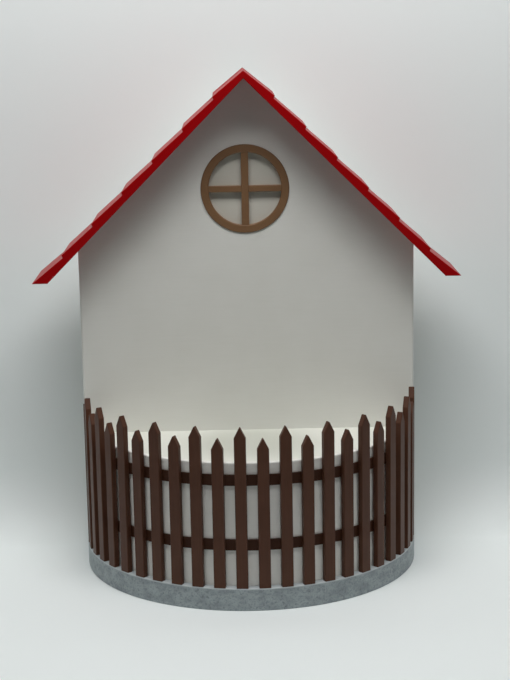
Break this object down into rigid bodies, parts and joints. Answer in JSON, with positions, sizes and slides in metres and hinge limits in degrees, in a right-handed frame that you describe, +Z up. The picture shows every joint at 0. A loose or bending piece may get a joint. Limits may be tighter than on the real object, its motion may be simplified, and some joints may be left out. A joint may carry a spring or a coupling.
{
  "type": "house-shaped money box",
  "caption": "House-shaped money box: a shallow gabled house with a stepped roof and a slot in its ridge, behind a half-round coin drum ringed by a picket fence on a plinth.",
  "frame": {"origin": "on the plinth's underside, at the centre of its round front, in the plane of the house's front face", "axes": "+Z up, -Y towards the viewer who faces the fence, +X to that viewer's right"},
  "size_m": [0.2012, 0.104, 0.236],
  "materials": {
    "house_white": "satin white plastic",
    "roof_red": "satin red plastic",
    "fence_brown": "satin dark brown plastic",
    "window_bronze": "satin light brown plastic",
    "stone_grey": "matte grey plastic with a fine dark fleck"
  },
  "bodies": {
    "money_box": {"plinth": "stone_grey", "front_wall": "house_white", "rear_wall": "house_white", "left_wall": "house_white", "right_wall": "house_white", "stopper_seat": "house_white", "drum_wall": "house_white", "yard_floor": "house_white", "lower_rail": "fence_brown", "upper_rail": "fence_brown", "window_ring": "window_bronze", "window_upright": "window_bronze", "window_crossbar": "window_bronze", "roof_left": "roof_red", "roof_right": "roof_red", "picket_01": "fence_brown", "picket_02": "fence_brown", "picket_03": "fence_brown", "picket_04": "fence_brown", "picket_05": "fence_brown", "picket_06": "fence_brown", "picket_07": "fence_brown", "picket_08": "fence_brown", "picket_09": "fence_brown", "picket_10": "fence_brown", "picket_11": "fence_brown", "picket_12": "fence_brown", "picket_13": "fence_brown", "picket_14": "fence_brown", "picket_15": "fence_brown", "picket_16": "fence_brown", "picket_17": "fence_brown", "picket_18": "fence_brown", "picket_19": "fence_brown", "picket_20": "fence_brown", "picket_21": "fence_brown", "picket_22": "fence_brown", "picket_23": "fence_brown", "picket_24": "fence_brown"},
    "stopper": {"stopper": "stone_grey"}
  },
  "joints": [
    {"name": "stopper_pull", "type": "slide", "parent": "money_box", "child": "stopper", "axis": [0, 1, 0], "range_m": [0, 0.03]}
  ]
}
